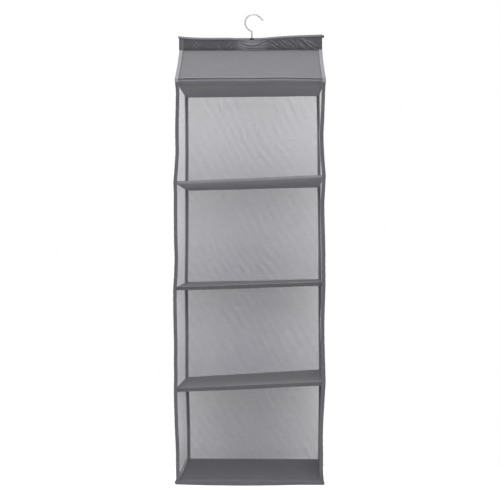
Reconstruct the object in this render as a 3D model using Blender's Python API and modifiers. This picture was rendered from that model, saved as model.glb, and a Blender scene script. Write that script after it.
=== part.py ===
"""Hanging shoe organizer: a swivel hook, a hanger bar in a cloth sleeve, a sloped cloth roof,
and four open compartments with mesh walls, hung from each other one below the next.

The origin is the inner top of the hook, on the axis that the hook swivels about.
+X is the organizer's right seen from its open front, +Y its back, +Z up.
Boards are numbered 0 (the ceiling) to 4 (the bottom), compartments 1 to 4 from the top.
"""

import math

import bmesh
import bpy
from mathutils import Vector

# Outer size, over the corner tapes.
HALF_DEPTH = 0.150
HALF_WIDTHS = (0.150, 0.150, 0.150, 0.150, 0.147)  # at each board

# Heights of the boards' top faces on the swivel axis, and how far each board's right side is raised.
BOARD_TOPS = (-0.1500, -0.3490, -0.5610, -0.7610, -0.9525)
BOARD_TILTS = tuple(math.radians(a) for a in (0.4, 1.9, 1.8, 2.9, 0.0))
BOARD_NAMES = ("top", "shelf_1", "shelf_2", "shelf_3", "bottom")

# Cloth and board thicknesses.
GAP = 0.0003  # between touching pieces
MESH_CLOTH = 0.0008
PLAIN_CLOTH = 0.0008
TAPE = 0.0012
TAPE_LEG = 0.008
BOARD = 0.0032
COVER = BOARD + 2 * GAP + 2 * PLAIN_CLOTH
WALL_INSET = TAPE + GAP  # the walls' outer faces lie this far inside the corner tapes
COVER_INSET = WALL_INSET + MESH_CLOTH + GAP

# Roof and sleeve.
SEAM = -0.0745  # the seam under the sleeve, where the roof's slopes start
APEX_HALF_GAP = 0.0006
EAVE_RISE = 0.0011  # the roof's outer face over the ceiling's top, at its lower edge
ROOF_TAPE_START = 0.0045
ROOF_TAPE_SIDE = 0.004
SLEEVE_HALF_LENGTH = 0.1485
SLEEVE_HALF_DEPTH = 0.0051
SLEEVE_SHOULDER = 0.003
SLEEVE_STRAIGHT = 0.0105
SLEEVE_FOOT = 0.0016
SLIT_LENGTH = 0.030
SLIT_DEPTH = 0.0042

# Hanger bar: a flat-oval tube whose ends rise a little over its middle.
BAR_TOP = -0.0500
BAR_HEIGHT = 0.0060
BAR_DEPTH = 0.0080
BAR_WALL = 0.0009
BAR_HALF_LENGTH = 0.1488
BAR_BOW = 0.0056
BAR_LEAN = 0.0018
BAR_STATIONS = 13
BAR_HOLE_RADIUS = 0.0018
CAP_FLANGE = 0.0016
CAP_SPIGOT = 0.006

# Hook and what holds it in the bar.
WIRE_RADIUS = 0.0014
LOOP_RADIUS = 0.0174  # of the wire's centre line
LOOP_CENTRE = (0.0034, -0.0160)
BEND = -0.0342  # where the straight shank leans over to the loop
LOOP_END = math.radians(46)
TIP_LENGTH = 0.0115
HEAD_RADIUS = 0.0028
HEAD_HEIGHT = 0.0016
WASHER_RADIUS = 0.0038
WASHER_HEIGHT = 0.0010
SHANK_CLEARANCE = 0.0003
SADDLE_WIDTH = 0.0092
SADDLE_WALL = 0.0009
SADDLE_LIP = 0.0022

HEM_DROP = 0.0082
HEM_OVERLAP = 0.0012

STEEL = ("steel", (0.62, 0.62, 0.64), 0.3, 1.0)
BLACK_PLASTIC = ("black_plastic", (0.012, 0.012, 0.014), 0.45, 0.0)
BAR_PAINT = ("bar_paint", (0.10, 0.10, 0.11), 0.5, 0.3)
DARK_CLOTH = ("dark_cloth", (0.095, 0.095, 0.10), 0.9, 0.0)
GREY_CLOTH = ("grey_cloth", (0.15, 0.15, 0.16), 0.9, 0.0)
TAPE_CLOTH = ("tape_cloth", (0.11, 0.11, 0.12), 0.85, 0.0)
MESH_NET = ("mesh_net", (0.28, 0.28, 0.30), 0.9, 0.0)
CARDBOARD = ("cardboard", (0.42, 0.33, 0.22), 0.95, 0.0)


# ---------------------------------------------------------------- scene helpers


def clear_scene():
    for old in list(bpy.data.objects):
        bpy.data.objects.remove(old, do_unlink=True)


def new_collection(name):
    made = bpy.data.collections.new(name)
    bpy.context.scene.collection.children.link(made)
    return made


def material(look):
    name, colour, roughness, metallic = look
    found = bpy.data.materials.get(name)
    if found:
        return found
    made = bpy.data.materials.new(name)
    made.use_nodes = True
    shader = made.node_tree.nodes["Principled BSDF"]
    shader.inputs["Base Color"].default_value = (*colour, 1.0)
    shader.inputs["Roughness"].default_value = roughness
    shader.inputs["Metallic"].default_value = metallic
    return made


def add_part(obj, look, joint=None):
    """Puts the object in the part's collection, with its material, under its joint's empty."""
    PARTS.objects.link(obj)
    obj.data.materials.clear()
    obj.data.materials.append(material(look))
    if joint:
        bpy.context.view_layer.update()
        obj.parent = joint
        obj.matrix_parent_inverse = joint.matrix_world.inverted()
    return obj


def add_cutter(obj):
    CUTTERS.objects.link(obj)
    obj.hide_render = True
    obj.display_type = "WIRE"
    return obj


def joint_empty(name, place, parent=None):
    empty = bpy.data.objects.new(name, None)
    PARTS.objects.link(empty)
    empty.location = place
    empty.empty_display_size = 0.02
    bpy.context.view_layer.update()
    if parent:
        empty.parent = parent
        empty.matrix_parent_inverse = parent.matrix_world.inverted()
        bpy.context.view_layer.update()
    return empty


def mesh_object(name, bm, place=(0, 0, 0)):
    mesh = bpy.data.meshes.new(name)
    bm.to_mesh(mesh)
    bm.free()
    obj = bpy.data.objects.new(name, mesh)
    obj.location = place
    return obj


def box(name, size, place=(0, 0, 0)):
    bm = bmesh.new()
    bmesh.ops.create_cube(bm, size=1.0)
    bmesh.ops.scale(bm, vec=size, verts=bm.verts)
    return mesh_object(name, bm, place)


def cylinder(name, radius, height, place=(0, 0, 0), segments=32):
    bm = bmesh.new()
    bmesh.ops.create_cone(bm, cap_ends=True, segments=segments, radius1=radius, radius2=radius, depth=height)
    obj = mesh_object(name, bm, place)
    shade_round(obj)
    return obj


def shade_round(obj):
    obj.data.shade_smooth()
    obj.data.set_sharp_from_angle(angle=math.radians(35))


def boolean(obj, other, operation):
    cut = obj.modifiers.new(operation.lower(), "BOOLEAN")
    cut.operation = operation
    cut.solver = "EXACT"
    cut.object = other
    return cut


def sheet(name, rows, thickness, side=-1.0, ring=False):
    """Cloth through rows of points, thickened along its normal (side 1) or against it (side -1).

    With ring, each row's last point meets its first, so that the rows make a tube.
    """
    across, along = len(rows[0]), len(rows)
    places = [Vector(p) for row in rows for p in row]
    middle = sum(places, Vector()) / len(places)
    bm = bmesh.new()
    bmesh.ops.create_grid(bm, x_segments=across - 1, y_segments=along - 1, size=1.0)
    grid = sorted(bm.verts, key=lambda v: (round(v.co.y, 4), round(v.co.x, 4)))
    for vert, place in zip(grid, places, strict=True):
        vert.co = place - middle
    if ring:
        bmesh.ops.remove_doubles(bm, verts=bm.verts, dist=1e-6)
    obj = mesh_object(name, bm, middle)
    thick = obj.modifiers.new("thickness", "SOLIDIFY")
    thick.thickness = thickness
    thick.offset = side
    thick.use_even_offset = True
    return obj


def flat_plate(name, outline, thickness):
    """A flat outline of (y, z) points standing in a YZ plane, thickness along X about that plane."""
    curve = bpy.data.curves.new(name, "CURVE")
    curve.dimensions = "2D"
    curve.fill_mode = "BOTH"
    curve.extrude = thickness / 2
    spline = curve.splines.new("POLY")
    spline.points.add(len(outline) - 1)
    for point, (y, z) in zip(spline.points, outline, strict=True):
        point.co = (y, z, 0, 1)
    spline.use_cyclic_u = True
    obj = bpy.data.objects.new(name, curve)
    obj.rotation_euler = (math.pi / 2, 0, math.pi / 2)
    return obj


def mesh_of_curve(obj):
    """The curve object as a mesh object in the same place, its caps welded."""
    CUTTERS.objects.link(obj)
    bpy.context.view_layer.update()
    evaluated = obj.evaluated_get(bpy.context.evaluated_depsgraph_get())
    mesh = bpy.data.meshes.new_from_object(evaluated)
    bm = bmesh.new()
    bm.from_mesh(mesh)
    bmesh.ops.remove_doubles(bm, verts=bm.verts, dist=1e-5)
    bm.to_mesh(mesh)
    bm.free()
    made = bpy.data.objects.new(obj.name, mesh)
    made.matrix_world = obj.matrix_world
    name = obj.name
    bpy.data.objects.remove(obj, do_unlink=True)
    made.name = name
    return made


# ---------------------------------------------------------------- lines that pieces share


def board_top(k, x=0.0):
    return BOARD_TOPS[k] + x * math.tan(BOARD_TILTS[k])


def board_middle(k, x=0.0):
    """Height at which the walls above and below board k are sewn to it."""
    return board_top(k, x) - COVER / 2


def bar_rise(x):
    share = x / BAR_HALF_LENGTH
    return BAR_BOW * share * share + BAR_LEAN * share


def roof_face(y, x):
    """Height of the roof's outer face."""
    eave = board_top(0, x) + EAVE_RISE
    share = (abs(y) - APEX_HALF_GAP) / (HALF_DEPTH - WALL_INSET - APEX_HALF_GAP)
    return SEAM - GAP + (eave - (SEAM - GAP)) * share


# ---------------------------------------------------------------- hook


def hook_line():
    """The wire's centre line from its foot to its tip, as (x, z) points."""
    cx, cz = LOOP_CENTRE
    foot = BAR_TOP - BAR_HEIGHT - 2 * GAP - WASHER_HEIGHT - HEAD_HEIGHT / 2
    reach = math.hypot(-cx, BEND - cz)
    leave = math.atan2(BEND - cz, -cx) % math.tau - math.acos(LOOP_RADIUS / reach)
    line = [(0, foot), (0, BEND - 0.0012), (-0.0004, BEND)]
    turns = 26
    for i in range(turns + 1):
        angle = leave + (LOOP_END - leave) * i / turns
        line.append((cx + LOOP_RADIUS * math.cos(angle), cz + LOOP_RADIUS * math.sin(angle)))
    end = line[-1]
    line.append((end[0] + TIP_LENGTH * math.sin(LOOP_END), end[1] - TIP_LENGTH * math.cos(LOOP_END)))
    return line


def make_hook():
    curve = bpy.data.curves.new("hook", "CURVE")
    curve.dimensions = "3D"
    curve.bevel_depth = WIRE_RADIUS
    curve.bevel_resolution = 2
    curve.use_fill_caps = True
    line = hook_line()
    spline = curve.splines.new("POLY")
    spline.points.add(len(line) - 1)
    for point, (x, z) in zip(spline.points, line, strict=True):
        point.co = (x, 0, z, 1)
    wire = mesh_of_curve(bpy.data.objects.new("hook", curve))
    add_part(wire, STEEL)
    shade_round(wire)
    head = add_cutter(cylinder("hook_head", HEAD_RADIUS, HEAD_HEIGHT, (0, 0, line[0][1])))
    boolean(wire, head, "UNION")


def make_saddle(joint):
    """Plastic saddle over the bar, with the hole that the shank turns in."""
    top = BAR_TOP + GAP + SADDLE_WALL
    height = SADDLE_WALL + GAP + SADDLE_LIP
    depth = BAR_DEPTH + 2 * (GAP + SADDLE_WALL)
    saddle = box("hook_saddle", (SADDLE_WIDTH, depth, height), (0, 0, top - height / 2))
    channel = box("saddle_channel", (SADDLE_WIDTH * 2, BAR_DEPTH + 2 * GAP, height))
    channel.location = (0, 0, BAR_TOP + GAP - height / 2)
    bore = cylinder("saddle_bore", WIRE_RADIUS + SHANK_CLEARANCE, 3 * height, (0, 0, top))
    boolean(saddle, add_cutter(channel), "DIFFERENCE")
    boolean(saddle, add_cutter(bore), "DIFFERENCE")
    add_part(saddle, BLACK_PLASTIC, joint)


def make_washer(joint):
    """Turned ring between the bar and the shank's head."""
    inner = WIRE_RADIUS + SHANK_CLEARANCE
    top = BAR_TOP - BAR_HEIGHT - GAP
    low = top - WASHER_HEIGHT
    bm = bmesh.new()
    corners = [(inner, top), (WASHER_RADIUS, top), (WASHER_RADIUS, low), (inner, low)]
    verts = [bm.verts.new((r, 0, z)) for r, z in corners]
    for a, b in zip(verts, verts[1:] + verts[:1], strict=True):
        bm.edges.new((a, b))
    washer = mesh_object("hook_washer", bm)
    turn = washer.modifiers.new("turn", "SCREW")
    turn.steps = 32
    turn.render_steps = 32
    turn.use_merge_vertices = True
    turn.merge_threshold = 0.00001
    add_part(washer, STEEL, joint)


# ---------------------------------------------------------------- hanger bar and sleeve


def oval_ring(x, height, depth, drop, steps=6):
    """Flat-oval ring of points round the bar's line at x, its last point on its first."""
    radius = height / 2
    flat = depth / 2 - radius
    middle = BAR_TOP - BAR_HEIGHT / 2 + bar_rise(x) + drop
    ring = []
    for side in (1, -1):
        for i in range(steps + 1):
            angle = -side * math.pi / 2 + math.pi * i / steps
            ring.append((x, side * flat + radius * math.cos(angle), middle + radius * math.sin(angle)))
    return ring + ring[:1]


def bar_stations(half_length):
    return [half_length * (2 * i / (BAR_STATIONS - 1) - 1) for i in range(BAR_STATIONS)]


def make_bar(joint):
    rows = [oval_ring(x, BAR_HEIGHT, BAR_DEPTH, 0.0) for x in bar_stations(BAR_HALF_LENGTH)]
    bar = sheet("hanger_bar", rows, BAR_WALL, side=-1.0, ring=True)
    hole = cylinder("bar_hole", BAR_HOLE_RADIUS, 3 * BAR_HEIGHT, (0, 0, BAR_TOP))
    boolean(bar, add_cutter(hole), "DIFFERENCE")
    add_part(bar, BAR_PAINT, joint)


def make_end_cap(name, sign, joint):
    """Plastic plug along the bar's end: a flange over the tube and a spigot inside it."""
    end = sign * BAR_HALF_LENGTH
    middle = BAR_TOP - BAR_HEIGHT / 2 + bar_rise(end)
    slope = (2 * BAR_BOW * sign + BAR_LEAN) / BAR_HALF_LENGTH
    flange = cylinder(name, 0.5, CAP_FLANGE)
    flange.scale = (BAR_HEIGHT, BAR_DEPTH, 1)
    spigot = cylinder(name + "_spigot", 0.5, CAP_SPIGOT)
    inside = 2 * (BAR_WALL + GAP)
    spigot.scale = (BAR_HEIGHT - inside, BAR_DEPTH - inside, 1)
    beyond = ((flange, 2 * GAP + CAP_FLANGE / 2), (spigot, CAP_FLANGE - CAP_SPIGOT / 2))
    for obj, out in beyond:
        obj.rotation_euler = (0, math.pi / 2 - math.atan(slope), 0)
        obj.location = (end + sign * out, 0, middle + sign * out * slope)
    boolean(flange, add_cutter(spigot), "UNION")
    add_part(flange, BLACK_PLASTIC, joint)


def sleeve_row(x):
    """The sleeve's outer face at x, from its front foot over the bar to its back foot."""
    top = BAR_TOP + 0.0013 + bar_rise(x)
    front = [(-SLEEVE_FOOT, SEAM + GAP), (-SLEEVE_HALF_DEPTH, top - SLEEVE_STRAIGHT)]
    steps = 6
    arch = []
    for i in range(steps + 1):
        angle = math.pi * i / steps
        y = -SLEEVE_HALF_DEPTH * math.cos(angle)
        arch.append((y, top - SLEEVE_SHOULDER * (1 - math.sin(angle))))
    back = [(-y, z) for y, z in reversed(front)]
    return [(x, y, z) for y, z in front + arch + back]


def make_sleeve(joint):
    rows = [sleeve_row(x) for x in bar_stations(SLEEVE_HALF_LENGTH)]
    sleeve = sheet("hanger_sleeve", rows, PLAIN_CLOTH, side=1.0)
    slit = box("sleeve_slit", (SLIT_LENGTH, 4 * SLEEVE_HALF_DEPTH, 2 * SLIT_DEPTH))
    slit.location = (0, 0, BAR_TOP + 0.0013)
    boolean(sleeve, add_cutter(slit), "DIFFERENCE")
    add_part(sleeve, DARK_CLOTH, joint)


# ---------------------------------------------------------------- roof


def make_roof(joint):
    half = HALF_WIDTHS[0] - COVER_INSET
    low = HALF_DEPTH - WALL_INSET
    for name, sign in (("roof_front", -1), ("roof_back", 1)):
        rows = [
            [(x, sign * y, roof_face(y, x)) for x in (-half, half)]
            for y in (low, APEX_HALF_GAP)
        ]
        add_part(sheet(name, rows, PLAIN_CLOTH, side=float(sign)), GREY_CLOTH, joint)


def make_gables(joint):
    reach = HALF_DEPTH - WALL_INSET
    for name, sign in (("gable_left", -1), ("gable_right", 1)):
        x = sign * (HALF_WIDTHS[0] - WALL_INSET - PLAIN_CLOTH / 2)
        foot = board_middle(0, x) + GAP / 2
        eave = roof_face(reach, x)
        apex = roof_face(APEX_HALF_GAP, x)
        outline = [(-reach, foot), (reach, foot), (reach, eave), (0, apex), (-reach, eave)]
        gable = mesh_of_curve(flat_plate(name, outline, PLAIN_CLOTH))
        gable.location.x = x
        add_part(gable, GREY_CLOTH, joint)


def make_roof_tapes(joint):
    """Folded tapes over the four sloping seams between the roof and its gables."""
    lift = (TAPE + GAP) * 1.13
    for end, y_sign in (("front", -1), ("back", 1)):
        for hand, x_sign in (("left", -1), ("right", 1)):
            rows = []
            for y in (HALF_DEPTH - WALL_INSET, ROOF_TAPE_START):
                edge = x_sign * HALF_WIDTHS[0]
                z = roof_face(y, edge) + lift
                inner = (edge - x_sign * TAPE_LEG, y_sign * y, z)
                rows.append([inner, (edge, y_sign * y, z), (edge, y_sign * y, z - ROOF_TAPE_SIDE)])
            tape = sheet(f"roof_tape_{end}_{hand}", rows, TAPE, side=float(y_sign * x_sign))
            add_part(tape, TAPE_CLOTH, joint)


# ---------------------------------------------------------------- boards


def make_board(k, joint):
    """A stiffening board and the cloth pocket that it slides into from the back."""
    name = BOARD_NAMES[k]
    half = HALF_WIDTHS[k] - COVER_INSET
    front = -(HALF_DEPTH - WALL_INSET)
    back = HALF_DEPTH - COVER_INSET
    place = (0, (front + back) / 2, BOARD_TOPS[k] - COVER / 2)
    lean = (0, -BOARD_TILTS[k], 0)
    cover = box(f"{name}_cover", (2 * half, back - front, COVER), place)
    cover.rotation_euler = lean
    inside = 2 * (half - PLAIN_CLOTH)
    pocket = box(f"{name}_pocket", (inside, back - front, COVER - 2 * PLAIN_CLOTH))
    pocket.location = Vector(place) + Vector((0, PLAIN_CLOTH * 2, 0))
    pocket.rotation_euler = lean
    boolean(cover, add_cutter(pocket), "DIFFERENCE")
    board = box(f"{name}_board", (inside - 2 * GAP, back - front - 3 * PLAIN_CLOTH, BOARD))
    board.location = Vector(place) + Vector((0, PLAIN_CLOTH, 0))
    board.rotation_euler = lean
    add_part(cover, GREY_CLOTH, joint)
    add_part(board, CARDBOARD, joint)


def make_hem(joint):
    """Band sewn round the bottom board, over the ends of the walls and the tapes."""
    inner_x = HALF_WIDTHS[4] + GAP
    inner_y = HALF_DEPTH + GAP
    low = BOARD_TOPS[4] - HEM_DROP
    high = BOARD_TOPS[4] + HEM_OVERLAP
    corners = [(-inner_x, -inner_y), (inner_x, -inner_y), (inner_x, inner_y), (-inner_x, inner_y)]
    rows = [[(x, y, z) for x, y in corners + corners[:1]] for z in (low, high)]
    add_part(sheet("bottom_hem", rows, TAPE, side=1.0, ring=True), TAPE_CLOTH, joint)


# ---------------------------------------------------------------- compartments


def wall_ends(k, half_inset):
    """(half width, height at a given x) at the foot and the top of compartment k's walls."""
    foot = (HALF_WIDTHS[k] - half_inset, lambda x: board_middle(k, x) + GAP / 2)
    top = (HALF_WIDTHS[k - 1] - half_inset, lambda x: board_middle(k - 1, x) - GAP / 2)
    return foot, top


def make_mesh_walls(k, joint):
    inner_y = HALF_DEPTH - WALL_INSET - MESH_CLOTH
    rows = []
    for half, height in wall_ends(k, COVER_INSET):
        rows.append([(x, inner_y, height(x)) for x in (-half, half)])
    add_part(sheet(f"back_mesh_{k}", rows, MESH_CLOTH, side=-1.0), MESH_NET, joint)
    reach = HALF_DEPTH - WALL_INSET
    for hand, sign in (("left", -1), ("right", 1)):
        rows = []
        for half, height in wall_ends(k, WALL_INSET + MESH_CLOTH):
            x = sign * half
            rows.append([(x, y, height(x)) for y in (-reach, reach)])
        side = sheet(f"{hand}_mesh_{k}", rows, MESH_CLOTH, side=float(sign))
        add_part(side, MESH_NET, joint)


def make_corner_tapes(k, joint):
    """Folded tapes over the four upright edges of compartment k."""
    for end, y_sign in (("front", -1), ("back", 1)):
        for hand, x_sign in (("left", -1), ("right", 1)):
            y = y_sign * HALF_DEPTH
            rows = []
            for half, height in wall_ends(k, 0.0):
                edge = x_sign * half
                inner = edge - x_sign * TAPE_LEG
                rows.append([
                    (inner, y, height(inner)),
                    (edge, y, height(edge)),
                    (edge, y - y_sign * TAPE_LEG, height(edge)),
                ])
            tape = sheet(f"{end}_{hand}_tape_{k}", rows, TAPE, side=float(x_sign * y_sign))
            add_part(tape, TAPE_CLOTH, joint)


# ---------------------------------------------------------------- assembly


def build():
    make_hook()
    joint = joint_empty("hook_swivel", (0, 0, 0))
    make_saddle(joint)
    make_washer(joint)
    make_bar(joint)
    make_end_cap("bar_cap_left", -1, joint)
    make_end_cap("bar_cap_right", 1, joint)
    make_sleeve(joint)
    make_roof(joint)
    make_gables(joint)
    make_roof_tapes(joint)
    for k, name in enumerate(BOARD_NAMES):
        if k > 0:
            make_mesh_walls(k, joint)
            make_corner_tapes(k, joint)
        joint = joint_empty(f"{name}_lift", (0, 0, BOARD_TOPS[k]), joint)
        make_board(k, joint)
    make_hem(joint)


clear_scene()
PARTS = new_collection("shoe_organizer")
CUTTERS = new_collection("cutters")
build()
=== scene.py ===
"""Looks of the hanging organizer: cloth, net, bound edges and steel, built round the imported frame.

Everything is in metres in the row frame: +X right seen from the open front, +Y back, +Z up.
Boards are numbered 0 (the ceiling) to 4 (the bottom), compartments 1 to 4 from the top.
"""

import math

import bmesh
import bpy
import numpy as np
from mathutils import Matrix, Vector, noise


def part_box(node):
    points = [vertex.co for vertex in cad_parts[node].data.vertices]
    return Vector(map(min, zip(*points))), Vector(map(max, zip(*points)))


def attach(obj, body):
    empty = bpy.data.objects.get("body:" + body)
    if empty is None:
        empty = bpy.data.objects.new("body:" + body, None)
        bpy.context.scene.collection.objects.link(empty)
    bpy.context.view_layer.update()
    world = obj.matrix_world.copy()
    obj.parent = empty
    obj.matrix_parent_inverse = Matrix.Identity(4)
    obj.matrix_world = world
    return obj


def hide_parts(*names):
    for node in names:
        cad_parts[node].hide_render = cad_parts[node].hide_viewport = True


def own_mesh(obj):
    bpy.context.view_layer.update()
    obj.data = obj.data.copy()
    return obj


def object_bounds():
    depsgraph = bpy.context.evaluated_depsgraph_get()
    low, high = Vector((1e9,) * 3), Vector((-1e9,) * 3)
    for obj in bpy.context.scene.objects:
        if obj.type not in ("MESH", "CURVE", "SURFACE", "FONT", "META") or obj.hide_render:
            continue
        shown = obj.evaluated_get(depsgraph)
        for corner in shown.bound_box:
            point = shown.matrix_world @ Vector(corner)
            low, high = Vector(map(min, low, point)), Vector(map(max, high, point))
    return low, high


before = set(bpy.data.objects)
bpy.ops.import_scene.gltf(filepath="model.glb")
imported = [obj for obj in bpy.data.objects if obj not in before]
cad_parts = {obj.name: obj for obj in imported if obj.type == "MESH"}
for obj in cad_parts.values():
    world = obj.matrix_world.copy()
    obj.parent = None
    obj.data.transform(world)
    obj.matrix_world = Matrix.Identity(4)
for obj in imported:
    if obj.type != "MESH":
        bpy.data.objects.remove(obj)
CAD_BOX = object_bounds()
MM = 0.001

# ------------ measures

BOARD_NAMES = ("top", "shelf_1", "shelf_2", "shelf_3", "bottom")
COMPARTMENTS = (1, 2, 3, 4)
SIGN = {"left": -1, "right": 1, "front": -1, "back": 1}
# Thicknesses of net, cloth and tape, and the air that the CAD leaves between sewn pieces.
NET, CLOTH, TAPE, GAP = 0.0008, 0.0008, 0.0012, 0.0003
WALL_INSET = TAPE + GAP
COVER_INSET = WALL_INSET + NET + GAP
NET_TRIM = 0.0055  # from the corner to the net's sewn edge, under the tape
TRAVEL, ROOF_TRAVEL = 0.165, 0.062  # how far a board and the ceiling can be lifted

HALF_DEPTH = -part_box("front_left_tape_1")[0].y
# Half widths of the boards: the bottom is narrower than the four above it.
HALF = (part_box("front_right_tape_1")[1].x,) * 4 + (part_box("bottom_hem")[1].x - TAPE - GAP,)
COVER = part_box("bottom_cover")[1].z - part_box("bottom_cover")[0].z  # thickness of a board's pocket
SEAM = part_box("hanger_sleeve")[0].z  # where the roof's cloth is sewn to the sleeve

# The hook: middle, radius and end of its loop, the height of its bend, its straight tip and the
# wire's radius, and the two faces of the head at the shank's foot.
LOOP_CENTRE, LOOP_RADIUS, LOOP_END = (0.0034, -0.0160), 0.0174, math.radians(46)
BEND, TIP, WIRE = -0.0342, 0.0115, 0.0014
HEAD_TOP, HEAD_LOW = -0.0575, -0.0589


def board_levels():
    """Height of the sewn edge of each board at its left and right end."""
    found = []
    for k in range(len(BOARD_NAMES)):
        pair = []
        for hand in ("left", "right"):
            above = [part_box(f"{hand}_mesh_{k}")[0].z] if k > 0 else []
            below = [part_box(f"{hand}_mesh_{k + 1}")[1].z] if k < 4 else []
            pair.append(sum(above + below) / len(above + below))
        found.append(pair)
    return found


LEVELS = board_levels()

# How the cloth hangs out of true, in millimetres: front left, front right, back left, back right.
SHIFT = (
    (0.8, 2.0, -2.2, -5.5),
    (-2.0, 1.8, -1.5, -3.3),
    (-2.4, 1.2, -2.8, -1.0),
    (-1.2, 1.6, -1.5, 0.3),
    (0.7, -0.4, 0.0, 1.0),
)
LIFT = (
    (0.0, 0.0, 0.0, 0.0),
    (-1.4, 1.4, -2.8, -5.4),
    (-0.9, 0.9, 2.4, 0.1),
    (-0.5, -0.5, -4.7, -1.1),
    (0.0, 0.0, 0.0, 0.0),
)
# How far each front edge strays sideways, at six even steps down its compartment: left, then right.
STRAY = {
    1: ((2.3, 2.4, 1.8, 2.1, 3.2, 1.9), (-1.1, -2.2, -3.1, -4.7, -4.1, -2.3)),
    2: ((0.8, 0.7, 1.0, 1.3, 2.7, 1.9), (-1.1, -2.7, -2.2, -1.2, -0.4, -0.3)),
    3: ((-0.3, -0.1, 0.2, 0.8, 0.3, 0.7), (-0.5, -1.6, -2.3, -2.3, -1.6, -0.8)),
    4: ((-0.3, -0.2, -0.1, 0.5, 0.8, 0.2), (-0.9, -1.9, -3.0, -3.0, -1.7, -0.9)),
}
STRAY_AT = (0.0, 0.1, 0.25, 0.4, 0.55, 0.7, 0.85, 1.0)
# How far the back edges bow sideways at mid height: left and right.
BOW = {1: (0.6, 1.0), 2: (0.7, 0.6), 3: (0.8, -0.2), 4: (1.0, 0.2)}
# How far all four edges bow front to back.
BOW_DEPTH = {
    1: (1.6, 2.2, -1.2, -1.0),
    2: (1.2, 1.5, -1.0, -1.4),
    3: (1.8, 1.2, -1.3, -0.8),
    4: (1.4, 1.9, -1.0, -1.2),
}


def corner_mix(values, u, v):
    """Mix of values at front left, front right, back left and back right; u runs right and v back."""
    fl, fr, bl, br = values
    return (fl * (1 - u) + fr * u) * (1 - v) + (bl * (1 - u) + br * u) * v


def rounded(places, values, t, width):
    """Value at t of the line through the points, its corners rounded over the width."""
    fine = np.linspace(places[0], places[-1], 400)
    kernel = np.hanning(width)
    reach = width // 2
    padded = np.pad(np.interp(fine, places, values), reach, mode="reflect", reflect_type="odd")
    return np.interp(t, fine, np.convolve(padded, kernel / kernel.sum(), mode="valid"))


def stray(k, t):
    """Sideways offset of compartment k's four upright edges at t, in millimetres."""
    front = [rounded(STRAY_AT, (0.0, *line, 0.0), t, 41) for line in STRAY[k]]
    return front + [amount * np.sin(math.pi * np.asarray(t)) for amount in BOW[k]]


def level(k, x):
    """Height of board k's sewn edge at x."""
    left, right = LEVELS[k]
    return left + (right - left) * (x / HALF[k] + 1) / 2


def lean(k):
    """Rise of board k from left to right, per metre."""
    return (LEVELS[k][1] - LEVELS[k][0]) / (2 * HALF[k])


def shares(k, x, y):
    """Place on board k from 0 to 1: left to right and front to back."""
    return (x / HALF[k] + 1) / 2, (y / HALF_DEPTH + 1) / 2


def at_board(k, x, y, dz):
    """Where a point of board k hangs: x and y as drawn flat, dz over the sewn edge."""
    u, v = shares(k, x, y)
    dx = corner_mix(SHIFT[k], u, v) * MM
    lift = corner_mix(LIFT[k], u, v) * MM
    return np.stack(np.broadcast_arrays(x + dx, y, level(k, x) + lift + dz), -1)


def at_wall(k, t, side, y):
    """Where a point of compartment k's walls hangs: t runs down, side is x over the half width there."""
    top = at_board(k - 1, side * HALF[k - 1], y, -GAP / 2)
    foot = at_board(k, side * HALF[k], y, GAP / 2)
    t3 = np.asarray(t)[..., None]
    p = top * (1 - t3) + foot * t3
    u, v = (side + 1) / 2, (y / HALF_DEPTH + 1) / 2
    p[..., 0] += corner_mix(stray(k, t), u, v) * MM
    p[..., 1] += corner_mix([a * np.sin(math.pi * t) for a in BOW_DEPTH[k]], u, v) * MM
    return p


def soft_noise(points, size, seed):
    """Smooth noise from -1 to 1 at each point, with lumps of the given size."""
    flat = np.asarray(points, float).reshape(-1, 3) / size + seed
    values = [noise.noise(Vector(p)) for p in flat]
    return np.array(values).reshape(np.asarray(points).shape[:-1])


def smooth(a, b, x):
    """Smooth step from 0 at a to 1 at b."""
    t = np.clip((x - a) / (b - a), 0, 1)
    return t * t * (3 - 2 * t)


# ------------ meshes

def grid(down, across):
    """Two values at each point of a grid: one that changes down it, one that changes across it."""
    return np.broadcast_arrays(down[:, None], across[None, :])


def grid_normals(p, wrap):
    """Unit normals of a grid of points; wrap joins its last column to its first."""
    across = np.roll(p, -1, 1) - np.roll(p, 1, 1) if wrap else np.gradient(p, axis=1)
    n = np.cross(across, np.gradient(p, axis=0))
    return n / np.maximum(np.linalg.norm(n, axis=-1, keepdims=True), 1e-12)


def lengths(p, axis):
    """Running length along the axis, averaged over the other one."""
    step = np.linalg.norm(np.diff(p, axis=axis), axis=-1).mean(axis=1 - axis)
    return np.concatenate([[0.0], np.cumsum(step)])


def add_object(data):
    """Puts a mesh, light or camera in the scene under its own name."""
    obj = bpy.data.objects.new(data.name, data)
    bpy.context.scene.collection.objects.link(obj)
    return obj


def add_piece(mesh, material, body, node):
    """Puts a mesh in the scene as a piece that rides on the body and stands for the CAD node."""
    obj = add_object(mesh)
    mesh.materials.append(material)
    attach(obj, body)
    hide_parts(node)
    return obj


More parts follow.
